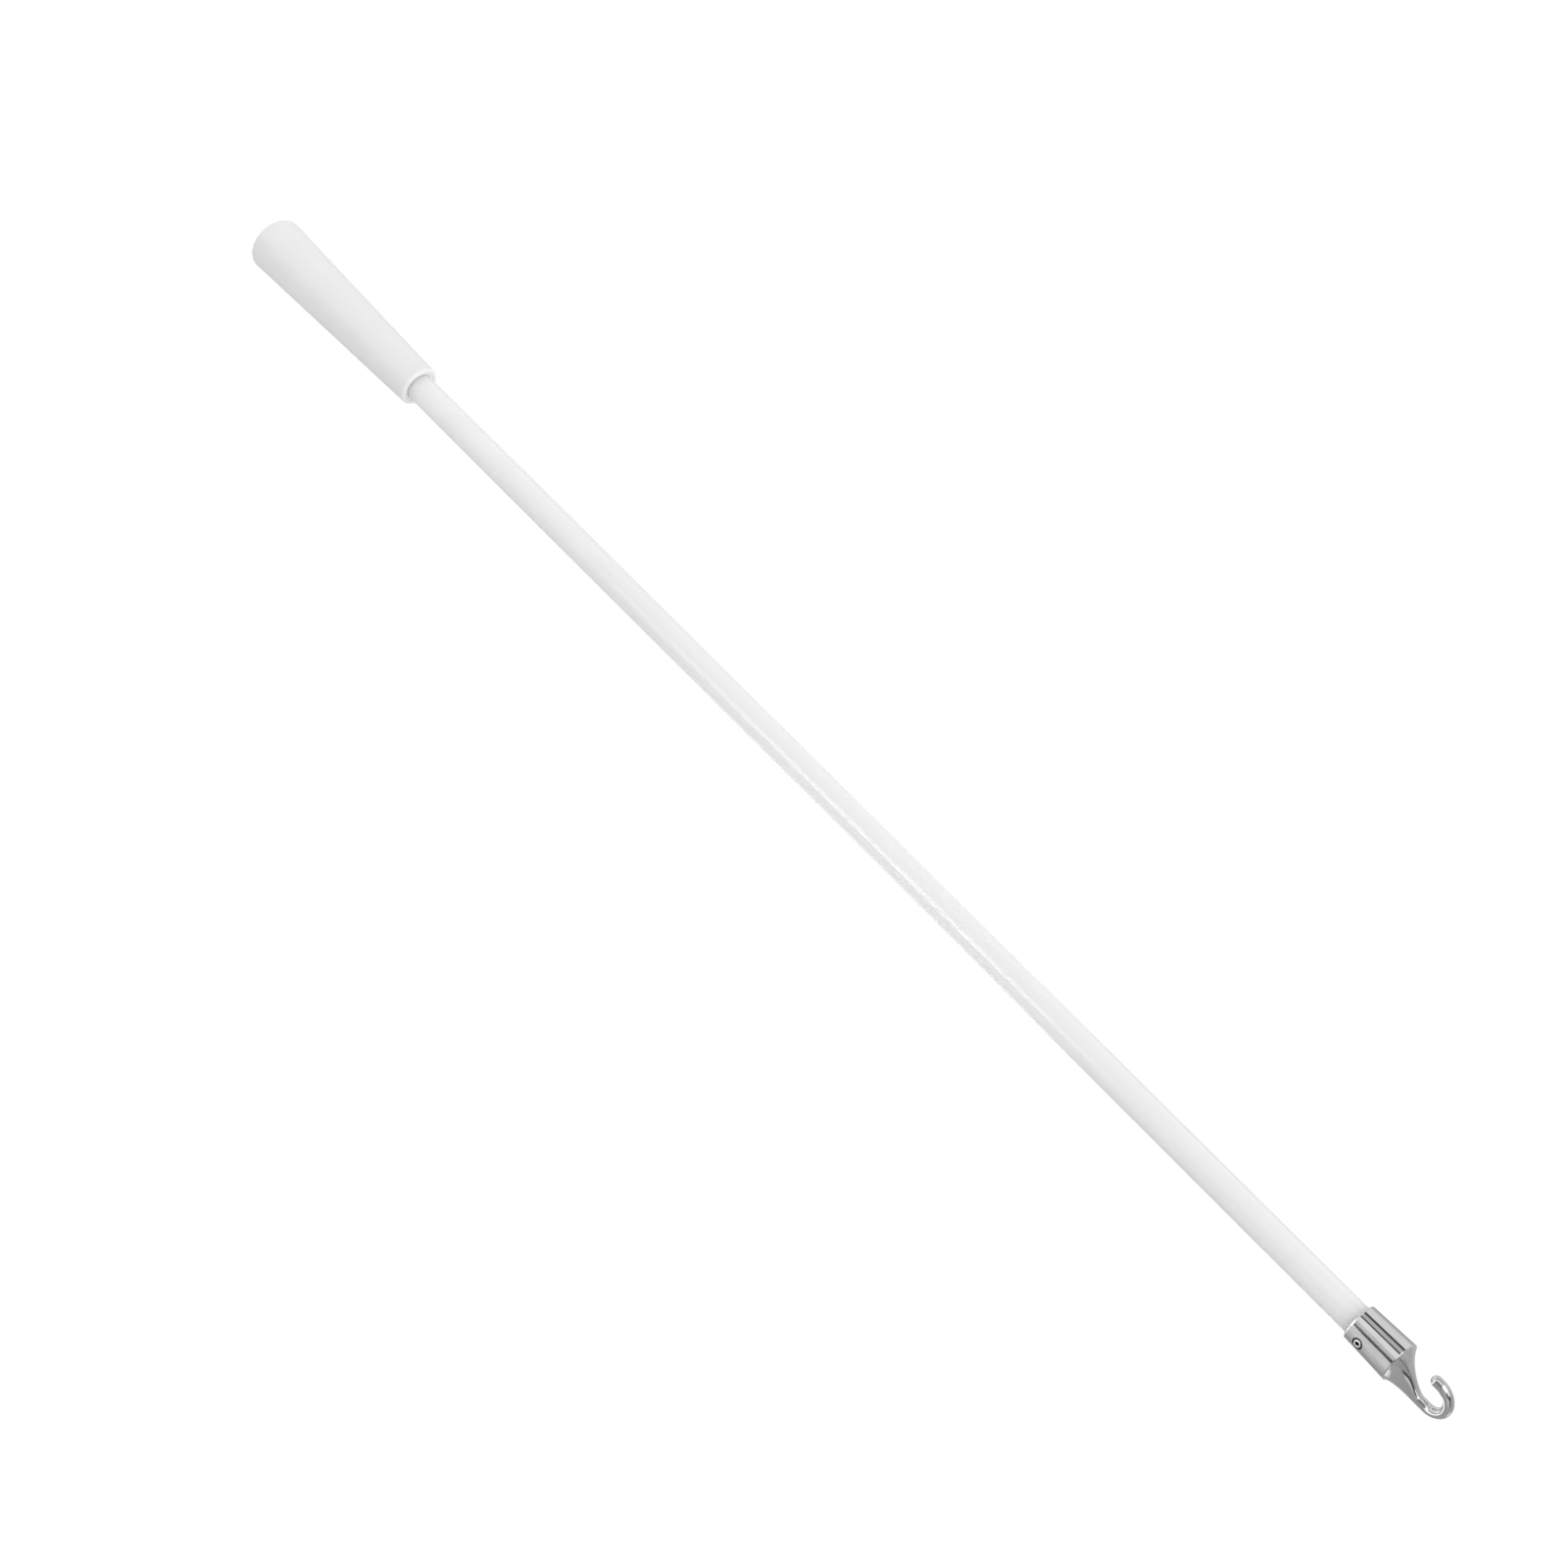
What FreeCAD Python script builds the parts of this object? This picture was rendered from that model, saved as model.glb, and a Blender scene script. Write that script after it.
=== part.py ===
import FreeCAD, Part
import math
import os

# Curtain wand, in millimetres, as it hangs: +Z up along the rod.
# The origin is the seat of the hook, the highest point inside its crown.
# The hook lies in the XZ plane, with its leg towards +X and its tip towards -X.

# Whole wand, from the closed end of the grip to the top of the hook
overall_length = 431.8

# Rod
rod_diameter = 7.4

# Grip: a moulded cone with a closed wide end and a blind socket
grip_length = 64.5
grip_end_diameter = 15.0
grip_mouth_diameter = 11.2
grip_end_rounding = 2.2
grip_lip_chamfer = 0.45
grip_recess_diameter = 8.8
grip_recess_depth = 1.2
grip_socket_depth = 30.0

# Sleeve of the ferrule: draft opens it towards the shoulder
sleeve_length = 12.8
sleeve_mouth_diameter = 9.4
sleeve_shoulder_diameter = 10.4
sleeve_mouth_chamfer = 0.25
sleeve_shoulder_chamfer = 0.35
sleeve_socket_depth = 10.8

# Neck: oval sections from the round shoulder to the bar of the leg. On the tip side it climbs as a ramp,
# its two broad sides flare out to the shoulder, and its heel runs down from the leg.
neck_height = 7.9
neck_ramp_power = 1.36
neck_flare_power = 3.6
neck_heel_power = 2.5
neck_steps = 3
neck_step_power = 1.2
neck_section_points = 12
neck_loft_degree = 2

# Hook: one round bar, bent to half a turn, with a rounded tip
bar_diameter = 2.6
throat_width = 5.6
seat_height = 12.7
tip_depth = 5.2

# Rivet across the ferrule and the rod, with a hollow end and a plain head
rivet_height = 3.9
rivet_shank_diameter = 1.6
rivet_head_diameter = 2.0
rivet_head_stand = 0.12
rivet_hollow_diameter = 1.0
rivet_hollow_depth = 1.5
spot_face_diameter = 2.7
spot_face_depth = 0.35

# Radial clearances
socket_clearance = 0.05
rivet_clearance = 0.03

# Levels along Z
crown_top = bar_diameter
shoulder_level = -seat_height
sleeve_mouth_level = shoulder_level - sleeve_length
grip_end_level = crown_top - overall_length
grip_mouth_level = grip_end_level + grip_length
rod_top = sleeve_mouth_level + sleeve_socket_depth
rod_bottom = grip_mouth_level - grip_socket_depth
rivet_level = sleeve_mouth_level + rivet_height

# Centre line of the hook
bar_radius = bar_diameter / 2
crown_radius = (throat_width + bar_diameter) / 2
crown_level = -throat_width / 2
neck_top_level = shoulder_level + neck_height
tip_level = -tip_depth + bar_radius

# Rivet seats, measured out from the axis
rivet_share = rivet_height / sleeve_length
sleeve_widening = sleeve_shoulder_diameter - sleeve_mouth_diameter
sleeve_radius_at_rivet = (sleeve_mouth_diameter + sleeve_widening * rivet_share) / 2
spot_face_radius = sleeve_radius_at_rivet - spot_face_depth
rivet_end_radius = sleeve_radius_at_rivet + rivet_head_stand

up = FreeCAD.Vector(0, 0, 1)
across = FreeCAD.Vector(0, 1, 0)


def point(x, z):
    return FreeCAD.Vector(x, 0, z)


def turned(outline):
    """A solid of revolution about Z from a closed outline of points."""
    face = Part.Face(Part.makePolygon(outline + outline[:1]))
    return face.revolve(point(0, 0), up, 360)


def upright(radius, low, high, x=0):
    """A cylinder along Z between two levels."""
    return Part.makeCylinder(radius, high - low, point(x, low), up)


def through_rivet(radius, start, end):
    """A cylinder on the rivet's axis, between two distances along Y."""
    return Part.makeCylinder(radius, end - start, FreeCAD.Vector(0, start, rivet_level), across)


def round_edges(solid, level, radius):
    """The circular edges of a turned solid at one level and of one radius."""
    found = []
    for edge in solid.Edges:
        curve = edge.Curve
        if isinstance(curve, Part.Circle):
            same_level = abs(curve.Center.z - level) < 1e-6
            same_radius = abs(curve.Radius - radius) < 1e-6
            if same_level and same_radius:
                found.append(edge)
    return found


def rod():
    hole = through_rivet(rivet_shank_diameter / 2 + rivet_clearance, -rod_diameter, rod_diameter)
    return upright(rod_diameter / 2, rod_bottom, rod_top).cut(hole)


def grip():
    end_radius = grip_end_diameter / 2
    mouth_radius = grip_mouth_diameter / 2
    slope = (end_radius - mouth_radius) / (grip_length - grip_end_rounding)
    corner_radius = end_radius + slope * grip_end_rounding
    recess_radius = grip_recess_diameter / 2
    socket_radius = rod_diameter / 2 + socket_clearance
    outline = [
        point(0, grip_end_level),
        point(corner_radius, grip_end_level),
        point(mouth_radius + slope * grip_lip_chamfer, grip_mouth_level - grip_lip_chamfer),
        point(mouth_radius - grip_lip_chamfer, grip_mouth_level),
        point(recess_radius, grip_mouth_level),
        point(recess_radius, grip_mouth_level - grip_recess_depth),
        point(socket_radius, grip_mouth_level - grip_recess_depth),
        point(socket_radius, rod_bottom),
        point(0, rod_bottom),
    ]
    body = turned(outline)
    return body.makeFillet(grip_end_rounding, round_edges(body, grip_end_level, corner_radius))


def sleeve():
    mouth_radius = sleeve_mouth_diameter / 2
    shoulder_radius = sleeve_shoulder_diameter / 2
    slope = sleeve_widening / 2 / sleeve_length
    socket_radius = rod_diameter / 2 + socket_clearance
    outline = [
        point(socket_radius, sleeve_mouth_level),
        point(mouth_radius - sleeve_mouth_chamfer, sleeve_mouth_level),
        point(mouth_radius + slope * sleeve_mouth_chamfer, sleeve_mouth_level + sleeve_mouth_chamfer),
        point(shoulder_radius - slope * sleeve_shoulder_chamfer, shoulder_level - sleeve_shoulder_chamfer),
        point(shoulder_radius - sleeve_shoulder_chamfer, shoulder_level),
        point(0, shoulder_level),
        point(0, rod_top),
        point(socket_radius, rod_top),
    ]
    return turned(outline)


def oval(centre_x, half_length, half_width, level):
    """A level closed curve: a circle where it is as long as wide, with flatter sides where it is longer."""
    power = 2 * half_length / half_width
    points = []
    for step in range(neck_section_points):
        turn = 2 * math.pi * step / neck_section_points
        reach = math.cos(turn)
        side = math.copysign(half_width, math.sin(turn)) * math.sqrt(1 - math.pow(abs(reach), power))
        points.append(FreeCAD.Vector(centre_x + half_length * reach, side, level))
    curve = Part.BSplineCurve()
    curve.interpolate(points, True)
    return Part.Wire(curve.toShape())


def neck_section(rise, base_radius):
    """The section of the neck at a share of its height."""
    fall = 1 - rise
    inner = crown_radius - bar_radius
    outer = crown_radius + bar_radius
    ramp = inner - (inner + base_radius) * math.pow(fall, neck_ramp_power)
    heel = outer - (outer - base_radius) * math.pow(fall, neck_heel_power)
    half_width = bar_radius + (base_radius - bar_radius) * math.pow(fall, neck_flare_power)
    return oval((heel + ramp) / 2, (heel - ramp) / 2, half_width, shoulder_level + neck_height * rise)


def neck():
    """A loft from the circle of the shoulder to the circle of the leg."""
    base_radius = sleeve_shoulder_diameter / 2 - sleeve_shoulder_chamfer
    sections = [Part.Wire(Part.makeCircle(base_radius, point(0, shoulder_level), up))]
    for step in range(1, neck_steps):
        sections.append(neck_section(math.pow(step / neck_steps, neck_step_power), base_radius))
    sections.append(Part.Wire(Part.makeCircle(bar_radius, point(crown_radius, neck_top_level), up)))
    return Part.makeLoft(sections, True, False, False, neck_loft_degree)


def hook():
    leg = upright(bar_radius, neck_top_level, crown_level, crown_radius)
    leg_end = Part.Face(Part.Wire(Part.makeCircle(bar_radius, point(crown_radius, crown_level), up)))
    crown = leg_end.revolve(point(0, crown_level), -across, 180)
    arm = upright(bar_radius, tip_level, crown_level, -crown_radius)
    tip = Part.makeSphere(bar_radius, point(-crown_radius, tip_level))
    return leg.fuse([crown, arm, tip])


def hook_ferrule():
    casting = sleeve().fuse([neck(), hook()]).removeSplitter()
    reach = sleeve_shoulder_diameter
    hole = through_rivet(rivet_shank_diameter / 2 + rivet_clearance, -reach, reach)
    near_face = through_rivet(spot_face_diameter / 2, -reach, -spot_face_radius)
    far_face = through_rivet(spot_face_diameter / 2, spot_face_radius, reach)
    return casting.cut([hole, near_face, far_face])


def rivet():
    shank = through_rivet(rivet_shank_diameter / 2, -spot_face_radius, spot_face_radius)
    hollow_end = through_rivet(rivet_head_diameter / 2, -rivet_end_radius, -spot_face_radius)
    plain_head = through_rivet(rivet_head_diameter / 2, spot_face_radius, rivet_end_radius)
    hollow_floor = rivet_hollow_depth - rivet_end_radius
    hollow = through_rivet(rivet_hollow_diameter / 2, -rivet_end_radius, hollow_floor)
    return shank.fuse([hollow_end, plain_head]).removeSplitter().cut(hollow)


pieces = {
    "rod": rod(),
    "grip": grip(),
    "hook_ferrule": hook_ferrule(),
    "rivet": rivet(),
}

os.makedirs("parts", exist_ok=True)
for name, shape in pieces.items():
    shape.exportStep(f"parts/{name}.step")
    print(name, shape.isValid(), len(shape.Solids), round(shape.Volume, 2), shape.BoundBox)
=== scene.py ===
import math

import bmesh
import bpy
from mathutils import Matrix, Quaternion, Vector


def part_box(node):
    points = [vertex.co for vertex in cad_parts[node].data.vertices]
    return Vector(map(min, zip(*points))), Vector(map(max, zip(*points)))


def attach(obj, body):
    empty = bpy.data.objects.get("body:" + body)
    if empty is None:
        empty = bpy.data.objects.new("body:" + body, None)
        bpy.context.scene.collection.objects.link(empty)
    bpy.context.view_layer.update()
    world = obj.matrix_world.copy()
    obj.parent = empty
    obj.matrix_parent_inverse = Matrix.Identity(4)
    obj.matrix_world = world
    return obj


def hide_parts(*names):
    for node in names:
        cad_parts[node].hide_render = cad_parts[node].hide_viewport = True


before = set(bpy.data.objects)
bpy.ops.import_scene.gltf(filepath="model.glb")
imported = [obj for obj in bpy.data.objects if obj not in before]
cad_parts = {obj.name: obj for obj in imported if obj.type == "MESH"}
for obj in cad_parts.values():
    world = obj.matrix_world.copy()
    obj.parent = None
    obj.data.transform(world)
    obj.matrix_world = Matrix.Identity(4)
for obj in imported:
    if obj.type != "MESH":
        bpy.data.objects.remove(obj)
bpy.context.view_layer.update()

# Sizes of the wand in millimetres, and the powers that shape its neck. Small roundings stand where the part's
# source has chamfers, and the recess in the mouth of the grip is shallower than there.
rod_radius = 3.7

grip_end_radius = 7.5
grip_mouth_radius = 5.6
grip_end_rounding = 2.2
grip_lip_rounding = 0.55
grip_inner_rounding = 0.25
grip_recess_radius = 4.4
grip_recess_depth = 0.28
grip_seam_height = 0.05
grip_seam_width = 0.2
grip_seam_margin = 0.5

sleeve_mouth_radius = 4.7
sleeve_shoulder_radius = 5.2
sleeve_mouth_rounding = 0.3
sleeve_shoulder_rounding = 0.35
sleeve_lead_in = 0.15
sleeve_lead_in_depth = 0.2

neck_height = 7.9
neck_ramp_power = 1.36
neck_flare_power = 3.6
neck_heel_power = 2.5

bar_radius = 1.3
throat_width = 5.6
seat_height = 12.7
tip_depth = 5.2

rivet_height = 3.9
rivet_shank_radius = 0.8
rivet_head_radius = 1.0
rivet_head_stand = 0.12
rivet_rim_rounding = 0.3
rivet_bore_rounding = 0.2
rivet_hollow_radius = 0.5
rivet_hollow_depth = 1.5
spot_face_radius = 1.35
spot_face_depth = 0.35

# Radial clearances, in millimetres
socket_clearance = 0.05
rivet_clearance = 0.03

# Levels along Z in millimetres: the ends of the pieces are the frame's, and the others follow from the sizes
rod_bottom, rod_top = [corner.z * 1000 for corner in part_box("rod")]
grip_end, grip_mouth = [corner.z * 1000 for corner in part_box("grip")]
sleeve_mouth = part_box("hook_ferrule")[0].z * 1000
shoulder = -seat_height
rivet_level = sleeve_mouth + rivet_height
crown_level = -throat_width / 2
tip_level = bar_radius - tip_depth

# Distances in millimetres from the axis of the wand or of the rivet
crown_radius = throat_width / 2 + bar_radius
socket_radius = rod_radius + socket_clearance
rivet_hole_radius = rivet_shank_radius + rivet_clearance

# Ends of the rivet, which are the frame's, and its seats, in millimetres along Y
rivet_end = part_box("rivet")[1].y * 1000
spot_face = rivet_end - rivet_head_stand - spot_face_depth

# Camera, in millimetres and degrees
camera_place = (-594.5, -535.3, 150.0)
camera_aim = (3.84, -4.33, -213.5)
camera_roll = 135.04
camera_lens = 84.48
camera_sensor = 36

# Panels of light that only reflections see, in tiers from the lowest to the highest. Each stop has an angle
# from the camera, counted towards the side of the hook's tip, and a brightness. Narrow dark stops are gaps.
foot_light = [(-180, 0.65), (-60, 0.65), (-20, 0.75), (60, 0.75), (130, 0.7), (180, 0.65)]
rod_light = [
    (-180, 1.0), (-150, 2.2), (-60, 2.2), (-46, 1.0), (-40, 6.4), (-24, 6.4), (-6, 1.6), (14, 1.1),
    (60, 1.0), (130, 0.95), (180, 1.0),
]
sleeve_light = [
    (-180, 0.46), (-174, 0.5), (-170, 1.3), (-154, 1.3), (-148, 0.4), (-115, 0.48), (-100, 0.66),
    (-85, 0.68), (-68, 0.88), (-35, 0.88), (-31, 0.1), (-21, 0.1), (-15, 0.72), (-3, 0.75),
    (4, 1.1), (25, 1.1), (29, 0.1), (34.5, 0.1), (38, 0.7), (53, 0.62), (58, 0.08), (67, 0.08),
    (71, 1.0), (112, 1.0), (126, 0.66), (146, 0.6), (150, 0.15), (158, 0.15), (162, 1.0), (172, 1.0),
    (180, 0.46),
]
bar_light = [
    (-180, 0.5), (-172, 0.5), (-164, 1.2), (-150, 1.2), (-142, 0.45), (-110, 0.46), (-50, 0.46),
    (-25, 0.3), (2, 0.26), (14, 0.8), (30, 0.86), (34, 1.5), (44, 1.5), (49, 0.3), (62, 0.3),
    (74, 0.8), (112, 0.9), (140, 0.6), (180, 0.5),
]
high_light = [
    (-180, 0.6), (-120, 0.48), (-60, 0.5), (-42, 0.6), (-10, 0.5), (0, 1.9), (50, 1.9), (60, 0.8),
    (130, 0.75), (180, 0.6),
]
upper_light = [
    (-180, 0.55), (-168, 0.55), (-158, 1.2), (-144, 1.2), (-134, 0.5), (-80, 0.5), (-66, 0.85), (-36, 0.85),
    (-24, 0.12), (6, 0.12), (14, 1.5), (48, 1.5), (60, 0.6), (130, 0.6), (180, 0.55),
]
ceiling_light = [(-180, 0.55), (-90, 0.5), (-62, 0.1), (40, 0.1), (60, 0.5), (120, 0.6), (180, 0.55)]
zenith_light = [(-180, 0.5), (-60, 0.42), (120, 0.5), (180, 0.5)]
# Heights, as sines of elevation, between which each tier gives way to the next
tier_changes = [
    (-0.5, -0.38), (-0.335, -0.305), (-0.222, -0.2), (0.02, 0.12), (0.46, 0.56), (0.78, 0.83), (0.935, 0.96),
]
# Even light for everything but reflections: from below, from above and from straight overhead
soft_low_light = [(-180, 0.4), (-135, 0.3), (-45, 0.54), (45, 0.86), (135, 0.6), (180, 0.4)]
soft_high_light = [(-180, 0.54), (-135, 0.44), (-45, 0.76), (45, 1.17), (135, 0.83), (180, 0.54)]
soft_top_light = [(-180, 1.8), (180, 1.8)]
soft_rise = (-1, 1)
soft_top_change = (0.7, 0.85)
backdrop_brightness = 1.05

# Floor, in millimetres, and its glow
floor_level = -1200.0
floor_reach = 1000.0
floor_whiteness = 0.9
floor_roughness = 0.8
floor_glow = 0.08

# How finely the meshes are divided, and the distance in metres within which their points are joined
around = 128
rod_bands = 40
grip_bands = 24
grip_end_bands = 14
grip_lip_bands = 10
grip_inner_bands = 6
edge_bands = 8
sleeve_bands = 40
neck_bands = 64
neck_band_power = 1.6
leg_bands = 6
crown_bands = 60
arm_bands = 4
tip_bands = 12
weld_distance = 0.0000002

# The column of the grip's mesh that its mould seam follows, and how near to it a point lies, in metres
grip_seam_column = 83
grip_seam_nearness = 0.0000001

# Rings of the rod just inside the grip and the sleeve, in millimetres from their mouths
rod_rings_in_grip = (6, 2)
rod_ring_in_sleeve = 1

# Angles in degrees above which edges stay sharp
sharp_angle = 40
casting_sharp_angle = 35

# Angle in degrees at which the rounding of the shoulder runs into the neck
shoulder_rounding_end = 60

# Ends of the noise that the materials follow, and how far the painted shade in a recess fades out, as a share
# of its radius
noise_low = 0.3
noise_high = 0.7
painted_shade_fade = 1.1

# How far the drums that cut the rivet's hole and the spot faces reach from the axis, in millimetres
rod_drum_reach = 6
sleeve_drum_reach = 8


def in_metres(x, y, z):
    return Vector((x, y, z)) * 0.001


def arc(x, z, radius, first, last, steps):
    """Points on an arc in a section, with angles in degrees from the outward direction."""
    points = []
    for step in range(steps + 1):
        angle = math.radians(first + (last - first) * step / steps)
        points.append((x + radius * math.cos(angle), z + radius * math.sin(angle)))
    return points


def even(start, end, steps):
    """Points on a straight line of a section, without its two ends."""
    points = []
    for step in range(1, steps):
        share = step / steps
        points.append((start[0] + (end[0] - start[0]) * share, start[1] + (end[1] - start[1]) * share))
    return points


def skin(name, rings, first_pole, last_pole):
    """A closed mesh through rings of points, with a fan to a pole at each end."""
    shell = bmesh.new()
    rows = []
    for ring in rings:
        rows.append([shell.verts.new(point) for point in ring])
    count = len(rows[0])
    first = shell.verts.new(first_pole)
    last = shell.verts.new(last_pole)
    for i in range(count):
        j = (i + 1) % count
        shell.faces.new((first, rows[0][j], rows[0][i]))
        for low, high in zip(rows[:-1], rows[1:]):
            shell.faces.new((low[i], low[j], high[j], high[i]))
        shell.faces.new((last, rows[-1][i], rows[-1][j]))
    bmesh.ops.recalc_face_normals(shell, faces=shell.faces)
    mesh = bpy.data.meshes.new(name)
    shell.to_mesh(mesh)
    shell.free()
    piece = bpy.data.objects.new(name, mesh)
    bpy.context.scene.collection.objects.link(piece)
    return piece


def circle(radius, z):
    """A level ring about the wand's axis."""
    points = []
    for i in range(around):
        turn = 2 * math.pi * i / around
        points.append(in_metres(radius * math.cos(turn), radius * math.sin(turn), z))
    return points


def turned(name, section):
    """A turned piece from a section that starts and ends on the wand's axis."""
    rings = [circle(radius, z) for radius, z in section[1:-1]]
    return skin(name, rings, in_metres(0, 0, section[0][1]), in_metres(0, 0, section[-1][1]))


def lay_on_rivet(piece):
    """Turns a piece made about +Z onto the rivet's axis, with its first end towards -Y."""
    piece.data.transform(Matrix.Rotation(math.radians(-90), 4, "X"))
    piece.data.transform(Matrix.Translation(in_metres(0, 0, rivet_level)))


def plain_drum(name, radius, low, high):
    """A drum on the rivet's axis, used for cutting."""
    drum = turned(name, [(0, low), (radius, low), (radius, high), (0, high)])
    lay_on_rivet(drum)
    return drum


def weld(mesh):
    """Joins points that lie together and drops the faces that this leaves without area."""
    shell = bmesh.new()
    shell.from_mesh(mesh)
    bmesh.ops.remove_doubles(shell, verts=shell.verts, dist=weld_distance)
    bmesh.ops.dissolve_degenerate(shell, edges=shell.edges, dist=weld_distance)
    shell.to_mesh(mesh)
    shell.free()


def cut(piece, drum):
    """Takes a drum out of a piece and removes the drum."""
    cutter = piece.modifiers.new("cut", "BOOLEAN")
    cutter.operation = "DIFFERENCE"
    cutter.solver = "EXACT"
    cutter.object = drum
    shapes = bpy.context.evaluated_depsgraph_get()
    whole = piece.data
    piece.data = bpy.data.meshes.new_from_object(piece.evaluated_get(shapes))
    piece.data.name = whole.name
    piece.modifiers.clear()
    bpy.data.meshes.remove(whole)
    bpy.data.objects.remove(drum)
    weld(piece.data)


def soften(piece, angle):
    """Smooth shading, with edges sharper than an angle kept."""
    piece.data.shade_smooth()
    piece.data.set_sharp_from_angle(angle=math.radians(angle))


def make_rod():
    levels = [rod_bottom]
    levels += [grip_mouth - depth for depth in rod_rings_in_grip]
    span = sleeve_mouth - grip_mouth
    levels += [grip_mouth + span * step / rod_bands for step in range(rod_bands + 1)]
    levels += [sleeve_mouth + rod_ring_in_sleeve, rod_top]
    section = [(0, rod_bottom)] + [(rod_radius, z) for z in levels] + [(0, rod_top)]
    piece = turned("rod_smooth", section)
    cut(piece, plain_drum("rod_hole", rivet_hole_radius, -rod_drum_reach, rod_drum_reach))
    soften(piece, sharp_angle)
    return piece


def seam_direction(quarters):
    """The level direction of the grip's mould seam, turned by a number of quarter turns."""
    turn = 2 * math.pi * grip_seam_column / around + quarters * math.pi / 2
    return Vector((math.cos(turn), math.sin(turn), 0))


def raise_seam(piece, low, high):
    """A fine ridge along both sides of the grip where the halves of its mould met."""
    seam = seam_direction(0)
    for vert in piece.data.vertices:
        level = vert.co.z * 1000
        outward = Vector((vert.co.x, vert.co.y, 0))
        on_seam = outward.cross(seam).length < grip_seam_nearness
        outside = outward.length * 1000 > grip_recess_radius + grip_seam_margin
        if on_seam and outside and low <= level <= high:
            vert.co += outward.normalized() * grip_seam_height * 0.001


def make_grip():
    slope = (grip_end_radius - grip_mouth_radius) / (grip_mouth - grip_end - grip_end_rounding)
    lean = math.degrees(math.atan(slope))
    foot = grip_end_radius - grip_end_rounding
    lip = grip_mouth_radius - grip_lip_rounding
    outside = arc(foot, grip_end + grip_end_rounding, grip_end_rounding, -90, lean, grip_end_bands)
    edge = arc(lip, grip_mouth - grip_lip_rounding, grip_lip_rounding, lean, 90, grip_lip_bands)
    inner = grip_recess_radius + grip_inner_rounding
    inside = arc(inner, grip_mouth - grip_inner_rounding, grip_inner_rounding, 90, 180, grip_inner_bands)
    recess_floor = grip_mouth - grip_recess_depth
    section = [(0, grip_end), (foot / 2, grip_end)] + outside
    section += even(outside[-1], edge[0], grip_bands) + edge + inside
    section += [(grip_recess_radius, recess_floor), (socket_radius, recess_floor)]
    section += [(socket_radius, rod_bottom), (0, rod_bottom)]
    piece = turned("grip_smooth", section)
    raise_seam(piece, grip_end + grip_end_rounding, grip_mouth - 2 * grip_lip_rounding)
    soften(piece, sharp_angle)
    return piece


def neck_ring(rise):
    """A level oval ring of the neck at a share of its height, with flatter sides where it is longer."""
    base_radius = sleeve_shoulder_radius - sleeve_shoulder_rounding
    fall = 1 - rise
    inner = crown_radius - bar_radius
    outer = crown_radius + bar_radius
    ramp = inner - (inner + base_radius) * math.pow(fall, neck_ramp_power)
    heel = outer - (outer - base_radius) * math.pow(fall, neck_heel_power)
    half_width = bar_radius + (base_radius - bar_radius) * math.pow(fall, neck_flare_power)
    half_length = (heel - ramp) / 2
    power = 2 * half_length / half_width
    level = shoulder + neck_height * rise
    points = []
    for i in range(around):
        turn = 2 * math.pi * i / around
        reach = math.cos(turn)
        side = math.copysign(half_width, math.sin(turn)) * math.sqrt(1 - math.pow(abs(reach), power))
        points.append(in_metres((heel + ramp) / 2 + half_length * reach, side, level))
    return points


def bar_ring(angle, drop, share=1.0):
    """A ring of the hook's bar: an angle round the crown from the leg, then a drop straight below its end."""
    turn = math.radians(angle)
    centre = in_metres(crown_radius * math.cos(turn), 0, crown_level + crown_radius * math.sin(turn) - drop)
    spin = Matrix.Rotation(-turn, 3, "Y")
    return [spin @ point + centre for point in circle(bar_radius * share, 0)]


def sleeve_rings():
    """Rings of the sleeve from the top of its socket, round its mouth and up to the shoulder."""
    slope = (sleeve_shoulder_radius - sleeve_mouth_radius) / (shoulder - sleeve_mouth)
    lean = math.degrees(math.atan(slope))
    low = sleeve_mouth_radius - sleeve_mouth_rounding
    high = sleeve_shoulder_radius - sleeve_shoulder_rounding
    mouth_level = sleeve_mouth + sleeve_mouth_rounding
    shoulder_level = shoulder - sleeve_shoulder_rounding
    mouth_edge = arc(low, mouth_level, sleeve_mouth_rounding, -90, -lean, edge_bands)
    shoulder_edge = arc(
        high, shoulder_level, sleeve_shoulder_rounding, -lean, shoulder_rounding_end, edge_bands
    )
    section = [
        (socket_radius, rod_top),
        (socket_radius, sleeve_mouth + sleeve_lead_in_depth),
        (socket_radius + sleeve_lead_in, sleeve_mouth),
    ]
    section += mouth_edge + even(mouth_edge[-1], shoulder_edge[0], sleeve_bands) + shoulder_edge
    return [circle(radius, z) for radius, z in section]


def neck_rings():
    """Rings of the neck, closest together where it flares out to the shoulder."""
    return [neck_ring(math.pow(step / neck_bands, neck_band_power)) for step in range(1, neck_bands + 1)]


def hook_rings():
    """Rings of the hook's bar along its leg, crown, arm and rounded tip."""
    leg_length = crown_level - (shoulder + neck_height)
    arm_length = crown_level - tip_level
    rings = [bar_ring(0, leg_length * (1 - step / leg_bands)) for step in range(1, leg_bands)]
    rings += [bar_ring(180 * step / crown_bands, 0) for step in range(crown_bands + 1)]
    rings += [bar_ring(180, arm_length * step / arm_bands) for step in range(1, arm_bands + 1)]
    for step in range(1, tip_bands):
        dome = math.radians(90 * step / tip_bands)
        rings.append(bar_ring(180, arm_length + bar_radius * math.sin(dome), math.cos(dome)))
    return rings


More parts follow.
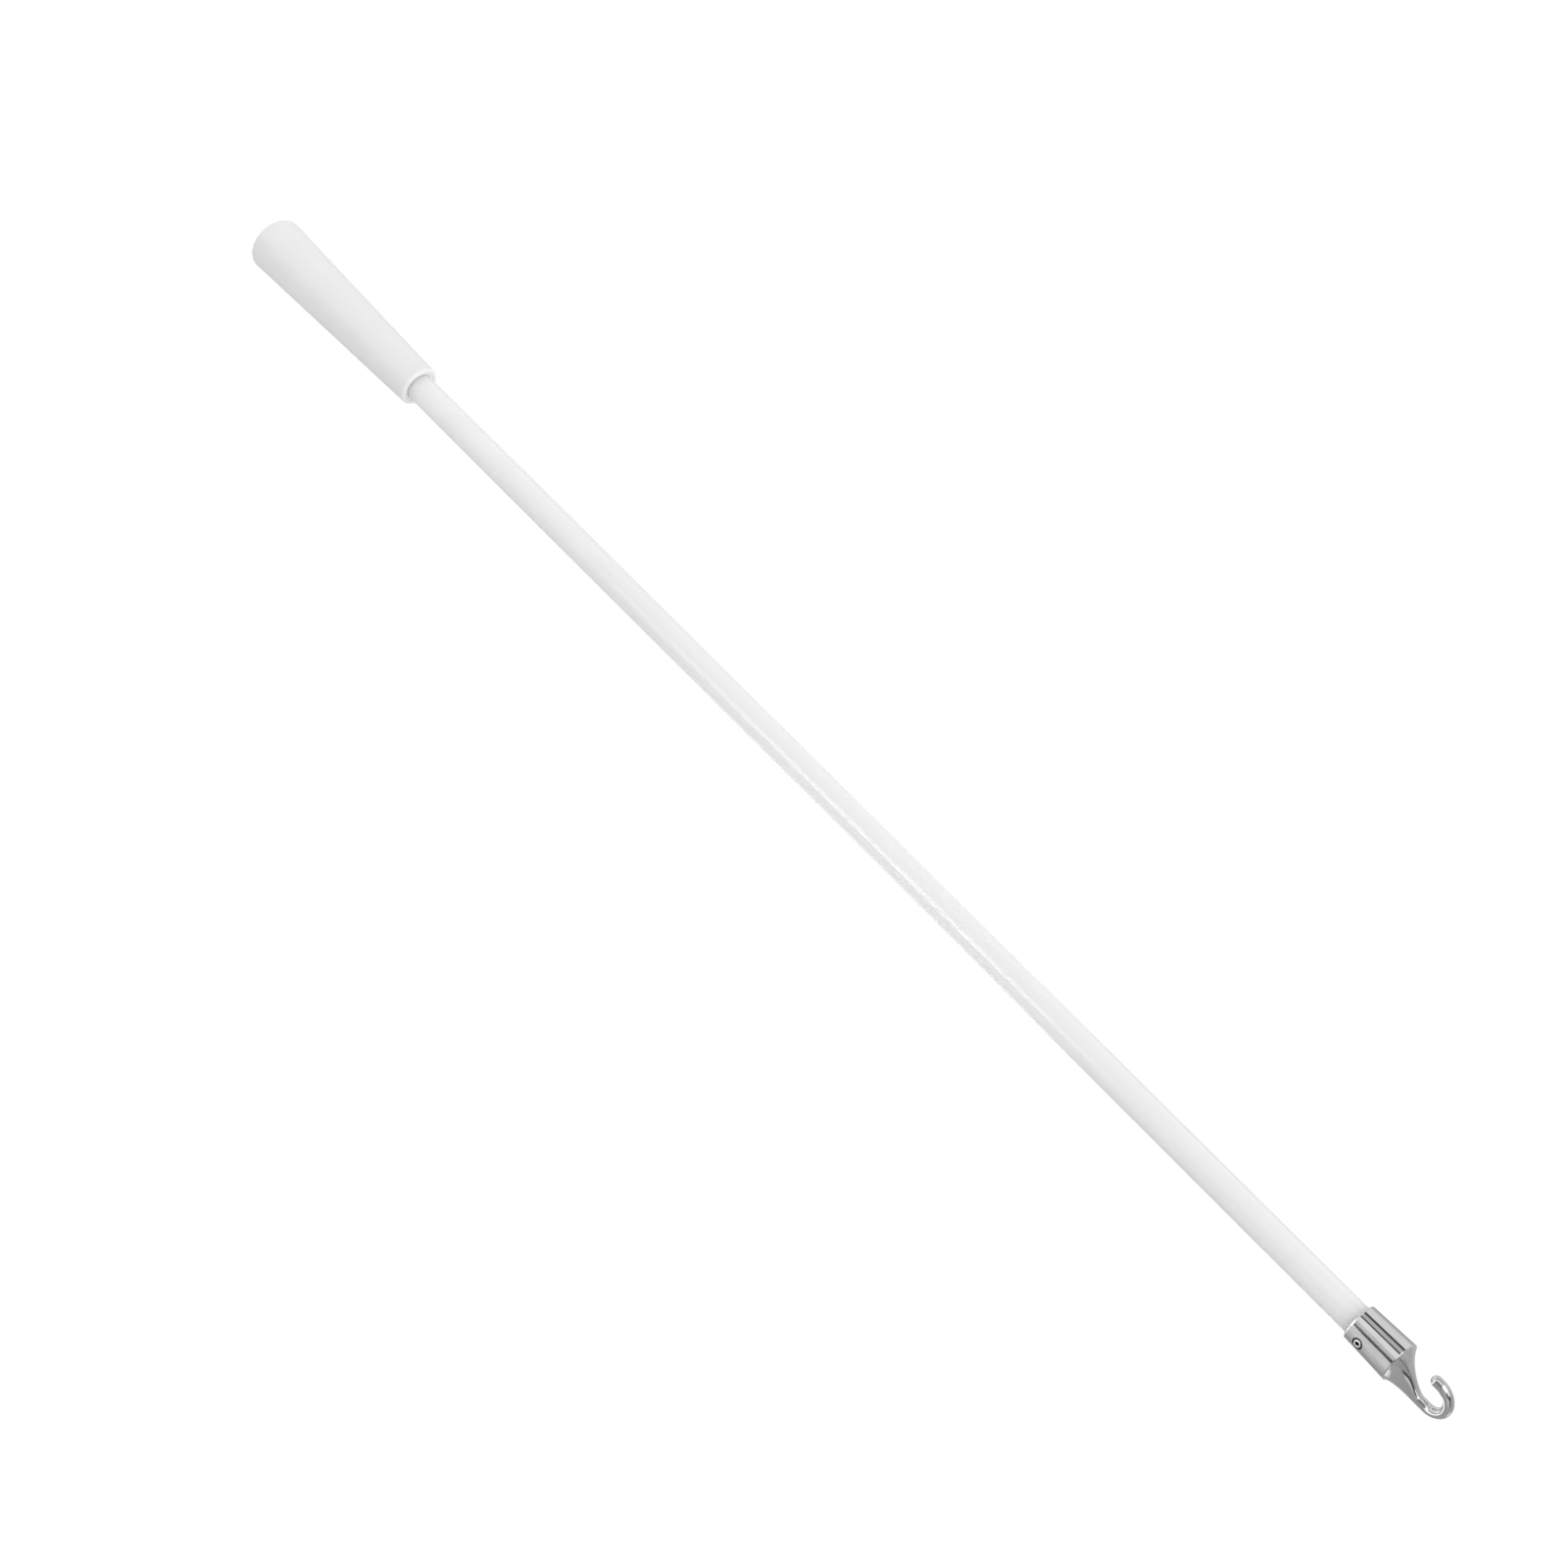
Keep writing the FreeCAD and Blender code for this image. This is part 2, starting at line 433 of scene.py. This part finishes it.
def make_hook_ferrule():
    rings = sleeve_rings() + neck_rings() + hook_rings()
    tip = in_metres(-crown_radius, 0, tip_level - bar_radius)
    piece = skin("hook_ferrule_smooth", rings, in_metres(0, 0, rod_top), tip)
    cut(piece, plain_drum("near_spot_face", spot_face_radius, -sleeve_drum_reach, -spot_face))
    cut(piece, plain_drum("far_spot_face", spot_face_radius, spot_face, sleeve_drum_reach))
    cut(piece, plain_drum("rivet_hole", rivet_hole_radius, -sleeve_drum_reach, sleeve_drum_reach))
    soften(piece, casting_sharp_angle)
    return piece


def make_rivet():
    outer = rivet_head_radius - rivet_rim_rounding
    bore_edge = rivet_hollow_radius + rivet_bore_rounding
    rim = arc(bore_edge, -rivet_end + rivet_bore_rounding, rivet_bore_rounding, 180, 270, edge_bands)
    rim += arc(outer, -rivet_end + rivet_rim_rounding, rivet_rim_rounding, -90, 0, edge_bands)[1:]
    head = arc(outer, rivet_end - rivet_rim_rounding, rivet_rim_rounding, 0, 90, edge_bands)
    floor = rivet_hollow_depth - rivet_end
    section = [(0, floor), (rivet_hollow_radius, floor)] + rim
    section += [(rivet_head_radius, -spot_face), (rivet_shank_radius, -spot_face)]
    section += [(rivet_shank_radius, spot_face), (rivet_head_radius, spot_face)]
    section += head + [(0, rivet_end)]
    piece = turned("rivet_smooth", section)
    lay_on_rivet(piece)
    soften(piece, sharp_angle)
    return piece


def grey(value):
    return (value, value, value, 1)


def new_material(name):
    """A material, its node tree and its shader."""
    material = bpy.data.materials.new(name)
    material.use_nodes = True
    return material, material.node_tree, material.node_tree.nodes["Principled BSDF"]


def noise(tree, scale, detail, stretch):
    """Noise in object coordinates, stretched along the wand's axis."""
    place = tree.nodes.new("ShaderNodeTexCoord")
    mapping = tree.nodes.new("ShaderNodeMapping")
    mapping.inputs["Scale"].default_value = (1, 1, stretch)
    texture = tree.nodes.new("ShaderNodeTexNoise")
    texture.inputs["Scale"].default_value = scale
    texture.inputs["Detail"].default_value = detail
    tree.links.new(place.outputs["Object"], mapping.inputs["Vector"])
    tree.links.new(mapping.outputs["Vector"], texture.inputs["Vector"])
    return texture.outputs["Fac"]


def between(tree, factor, low, high):
    """A value that follows a factor between two ends."""
    span = tree.nodes.new("ShaderNodeMapRange")
    span.inputs["From Min"].default_value = noise_low
    span.inputs["From Max"].default_value = noise_high
    span.inputs["To Min"].default_value = low
    span.inputs["To Max"].default_value = high
    tree.links.new(factor, span.inputs["Value"])
    return span.outputs["Result"]


def tint(tree, factor, dark, pale):
    """A grey that follows a factor between two greys."""
    ramp = tree.nodes.new("ShaderNodeValToRGB")
    ramp.color_ramp.elements[0].position = noise_low
    ramp.color_ramp.elements[0].color = grey(dark)
    ramp.color_ramp.elements[1].position = noise_high
    ramp.color_ramp.elements[1].color = grey(pale)
    tree.links.new(factor, ramp.inputs["Fac"])
    return ramp.outputs["Color"]


def relief(tree, shader, factor, strength, depth):
    """Fine relief on a surface."""
    bump = tree.nodes.new("ShaderNodeBump")
    bump.inputs["Strength"].default_value = strength
    bump.inputs["Distance"].default_value = depth
    tree.links.new(factor, bump.inputs["Height"])
    tree.links.new(bump.outputs["Normal"], shader.inputs["Normal"])


def rod_plastic():
    """Drawn white plastic: smooth, with faint draw lines along the rod."""
    material, tree, shader = new_material("rod_plastic")
    cloud = noise(tree, scale=60, detail=3, stretch=0.15)
    lines = noise(tree, scale=2500, detail=2, stretch=0.004)
    tree.links.new(tint(tree, cloud, dark=0.82, pale=0.84), shader.inputs["Base Color"])
    tree.links.new(between(tree, cloud, low=0.12, high=0.17), shader.inputs["Roughness"])
    relief(tree, shader, lines, strength=0.03, depth=0.00001)
    shader.inputs["Subsurface Weight"].default_value = 1.0
    shader.inputs["Subsurface Radius"].default_value = (1, 1, 1)
    shader.inputs["Subsurface Scale"].default_value = 0.006
    return material


def painted_shade_side(tree):
    """A factor of one on the side of the grip's mould seam that is painted in shade and nought on the other.
    """
    place = tree.nodes.new("ShaderNodeTexCoord")
    side = tree.nodes.new("ShaderNodeVectorMath")
    side.operation = "DOT_PRODUCT"
    side.inputs[1].default_value = seam_direction(1)
    edge = tree.nodes.new("ShaderNodeMapRange")
    edge.inputs["From Min"].default_value = -grip_seam_width / 2 * 0.001
    edge.inputs["From Max"].default_value = grip_seam_width / 2 * 0.001
    tree.links.new(place.outputs["Object"], side.inputs[0])
    tree.links.new(side.outputs["Value"], edge.inputs["Value"])
    return edge.outputs["Result"]


def blend(tree, factor, first, second):
    """One colour where a factor is nought and another where it is one."""
    mix = tree.nodes.new("ShaderNodeMix")
    mix.data_type = "RGBA"
    tree.links.new(factor, mix.inputs["Factor"])
    tree.links.new(first, mix.inputs["A"])
    tree.links.new(second, mix.inputs["B"])
    return mix.outputs["Result"]


def grip_plastic():
    """Moulded white plastic with a fine even grain, one half of it painted a little darker as painted shade.
    """
    material, tree, shader = new_material("grip_plastic")
    cloud = noise(tree, scale=90, detail=4, stretch=0.6)
    grain = noise(tree, scale=2600, detail=3, stretch=1)
    clear = tint(tree, cloud, dark=0.832, pale=0.852)
    # painted shade: the second tint darkens one half of the grip, standing in for the shade on that side; the
    # first tint is the lit half
    painted_shade_tint = tint(tree, cloud, dark=0.802, pale=0.822)
    tree.links.new(blend(tree, painted_shade_side(tree), clear, painted_shade_tint), shader.inputs["Base Color"])
    tree.links.new(between(tree, cloud, low=0.34, high=0.42), shader.inputs["Roughness"])
    relief(tree, shader, grain, strength=0.08, depth=0.00002)
    return material


def painted_shade_mask(tree, radius):
    """A factor of nought within a radius of the rivet's axis, where shade is painted, and one beyond it."""
    place = tree.nodes.new("ShaderNodeTexCoord")
    flatten = tree.nodes.new("ShaderNodeMapping")
    flatten.inputs["Location"].default_value = in_metres(0, 0, -rivet_level)
    flatten.inputs["Scale"].default_value = (1, 0, 1)
    distance = tree.nodes.new("ShaderNodeVectorMath")
    distance.operation = "LENGTH"
    edge = tree.nodes.new("ShaderNodeMapRange")
    edge.inputs["From Min"].default_value = radius * 0.001
    edge.inputs["From Max"].default_value = radius * painted_shade_fade * 0.001
    tree.links.new(place.outputs["Object"], flatten.inputs["Vector"])
    tree.links.new(flatten.outputs["Vector"], distance.inputs[0])
    tree.links.new(distance.outputs["Value"], edge.inputs["Value"])
    return edge.outputs["Result"]


def paint_shade(tree, factor, dark, bright):
    """A bright colour, darkened to a dark grey as painted shade where a factor is nought."""
    mix = tree.nodes.new("ShaderNodeMix")
    mix.data_type = "RGBA"
    mix.inputs["A"].default_value = grey(dark)
    tree.links.new(factor, mix.inputs["Factor"])
    tree.links.new(bright, mix.inputs["B"])
    return mix.outputs["Result"]


def plated_metal(name, dark, pale, unevenness, recess):
    """Bright plating: a slightly uneven mirror with faint smears, with painted shade near the rivet's axis.
    """
    material, tree, shader = new_material(name)
    shader.inputs["Metallic"].default_value = 1.0
    smear = noise(tree, scale=700, detail=4, stretch=0.4)
    waves = noise(tree, scale=450, detail=2, stretch=0.6)
    plating = tint(tree, smear, dark, pale)
    # painted shade: the metal within the recess radius of the rivet's axis is painted near black, standing in
    # for the shade in the recesses
    plating = paint_shade(tree, painted_shade_mask(tree, recess), dark=0.06, bright=plating)
    tree.links.new(plating, shader.inputs["Base Color"])
    tree.links.new(between(tree, smear, low=0.04, high=0.08), shader.inputs["Roughness"])
    relief(tree, shader, waves, unevenness, depth=0.00003)
    return material


def plated_casting():
    """The casting, with painted shade in its spot faces."""
    return plated_metal("plated_casting", dark=0.58, pale=0.64, unevenness=0.03, recess=spot_face_radius)


def plated_rivet():
    """The rivet, brighter than the casting, with painted shade in its hollow end."""
    return plated_metal("plated_rivet", dark=0.82, pale=0.88, unevenness=0.04, recess=rivet_hollow_radius)


def dress(piece, node, material):
    """Puts a finished piece in place of its node."""
    piece.data.materials.clear()
    piece.data.materials.append(material)
    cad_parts[node].data.materials.clear()
    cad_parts[node].data.materials.append(material)
    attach(piece, "root")
    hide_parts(node)


def light_round(tree, turn, stops):
    """Light that changes with the angle round the wand, through a list of stops."""
    ramp = tree.nodes.new("ShaderNodeValToRGB")
    elements = ramp.color_ramp.elements
    while len(elements) < len(stops):
        elements.new(0.5)
    for element, (angle, brightness) in zip(elements, reversed(stops)):
        element.position = 0.5 - angle / 360
        element.color = grey(brightness)
    tree.links.new(turn, ramp.inputs["Fac"])
    return ramp.outputs["Color"]


def change_tier(tree, height, lower, upper, change):
    """One tier of light below a change of height and another above it."""
    share = tree.nodes.new("ShaderNodeMapRange")
    share.interpolation_type = "SMOOTHSTEP"
    share.inputs["From Min"].default_value = change[0]
    share.inputs["From Max"].default_value = change[1]
    tree.links.new(height, share.inputs["Value"])
    return blend(tree, share.outputs["Result"], lower, upper)


def directions(tree):
    """The turn round the wand, counted from the camera, and the height, as a sine of elevation."""
    place = tree.nodes.new("ShaderNodeTexCoord")
    spin = tree.nodes.new("ShaderNodeVectorRotate")
    spin.rotation_type = "Z_AXIS"
    spin.inputs["Angle"].default_value = -math.atan2(camera_place[1], camera_place[0])
    turn = tree.nodes.new("ShaderNodeTexGradient")
    turn.gradient_type = "RADIAL"
    height = tree.nodes.new("ShaderNodeSeparateXYZ")
    tree.links.new(place.outputs["Generated"], spin.inputs["Vector"])
    tree.links.new(spin.outputs["Vector"], turn.inputs["Vector"])
    tree.links.new(place.outputs["Generated"], height.inputs["Vector"])
    return turn.outputs["Fac"], height.outputs["Z"]


def panel_light(tree, turn, height):
    """The tiers of panels, one above another."""
    light = light_round(tree, turn, foot_light)
    upper_tiers = (rod_light, sleeve_light, bar_light, high_light, upper_light, ceiling_light, zenith_light)
    for stops, change in zip(upper_tiers, tier_changes):
        light = change_tier(tree, height, light, light_round(tree, turn, stops), change)
    return light


def dome_light(tree, turn, height):
    """The soft dome, brighter towards its top."""
    low = light_round(tree, turn, soft_low_light)
    high = light_round(tree, turn, soft_high_light)
    top = light_round(tree, turn, soft_top_light)
    rising = change_tier(tree, height, low, high, soft_rise)
    return change_tier(tree, height, rising, top, soft_top_change)


def background(tree, light):
    """A background that shines with a colour of light."""
    shader = tree.nodes.new("ShaderNodeBackground")
    tree.links.new(light, shader.inputs["Color"])
    return shader.outputs["Background"]


def white_backdrop(tree):
    """A plain white background."""
    shader = tree.nodes.new("ShaderNodeBackground")
    shader.inputs["Color"].default_value = grey(1)
    shader.inputs["Strength"].default_value = backdrop_brightness
    return shader.outputs["Background"]


def by_ray(tree, kind, others, chosen):
    """One background for the chosen kind of ray and another for the others."""
    path = tree.nodes.new("ShaderNodeLightPath")
    mix = tree.nodes.new("ShaderNodeMixShader")
    tree.links.new(path.outputs[kind], mix.inputs["Fac"])
    tree.links.new(others, mix.inputs[1])
    tree.links.new(chosen, mix.inputs[2])
    return mix.outputs["Shader"]


def studio_world():
    """Panels for reflections, a soft dome for all other light, and a plain white backdrop for the camera."""
    world = bpy.data.worlds.new("studio")
    bpy.context.scene.world = world
    world.use_nodes = True
    tree = world.node_tree
    tree.nodes.clear()
    turn, height = directions(tree)
    panels = background(tree, panel_light(tree, turn, height))
    dome = background(tree, dome_light(tree, turn, height))
    light = by_ray(tree, "Is Glossy Ray", dome, panels)
    view = by_ray(tree, "Is Camera Ray", light, white_backdrop(tree))
    output = tree.nodes.new("ShaderNodeOutputWorld")
    tree.links.new(view, output.inputs["Surface"])


def pale_floor():
    """A plain white floor well below the hanging wand."""
    mesh = bpy.data.meshes.new("floor")
    corners = [(-1, -1), (1, -1), (1, 1), (-1, 1)]
    points = [in_metres(x * floor_reach, y * floor_reach, floor_level) for x, y in corners]
    mesh.from_pydata(points, [], [(0, 1, 2, 3)])
    floor = bpy.data.objects.new("floor", mesh)
    bpy.context.scene.collection.objects.link(floor)
    material, tree, shader = new_material("floor_white")
    shader.inputs["Base Color"].default_value = grey(floor_whiteness)
    shader.inputs["Roughness"].default_value = floor_roughness
    shader.inputs["Emission Color"].default_value = grey(1)
    shader.inputs["Emission Strength"].default_value = floor_glow
    mesh.materials.append(material)


def studio_camera():
    lens = bpy.data.cameras.new("camera")
    lens.sensor_width = camera_sensor
    lens.lens = camera_lens
    lens.clip_start = 0.01
    lens.clip_end = 100
    camera = bpy.data.objects.new("camera", lens)
    bpy.context.scene.collection.objects.link(camera)
    camera.location = in_metres(*camera_place)
    view = in_metres(*camera_aim) - in_metres(*camera_place)
    camera.rotation_mode = "QUATERNION"
    roll = Quaternion((0, 0, 1), math.radians(camera_roll))
    camera.rotation_quaternion = view.to_track_quat("-Z", "Y") @ roll
    bpy.context.scene.camera = camera


def true_whites():
    """Colours as they are, so that the backdrop is plain white."""
    settings = bpy.context.scene.view_settings
    settings.view_transform = "Standard"
    settings.look = "None"
    settings.exposure = 0
    settings.gamma = 1


dress(make_rod(), "rod", rod_plastic())
dress(make_grip(), "grip", grip_plastic())
dress(make_hook_ferrule(), "hook_ferrule", plated_casting())
dress(make_rivet(), "rivet", plated_rivet())

studio_world()
pale_floor()
studio_camera()
true_whites()
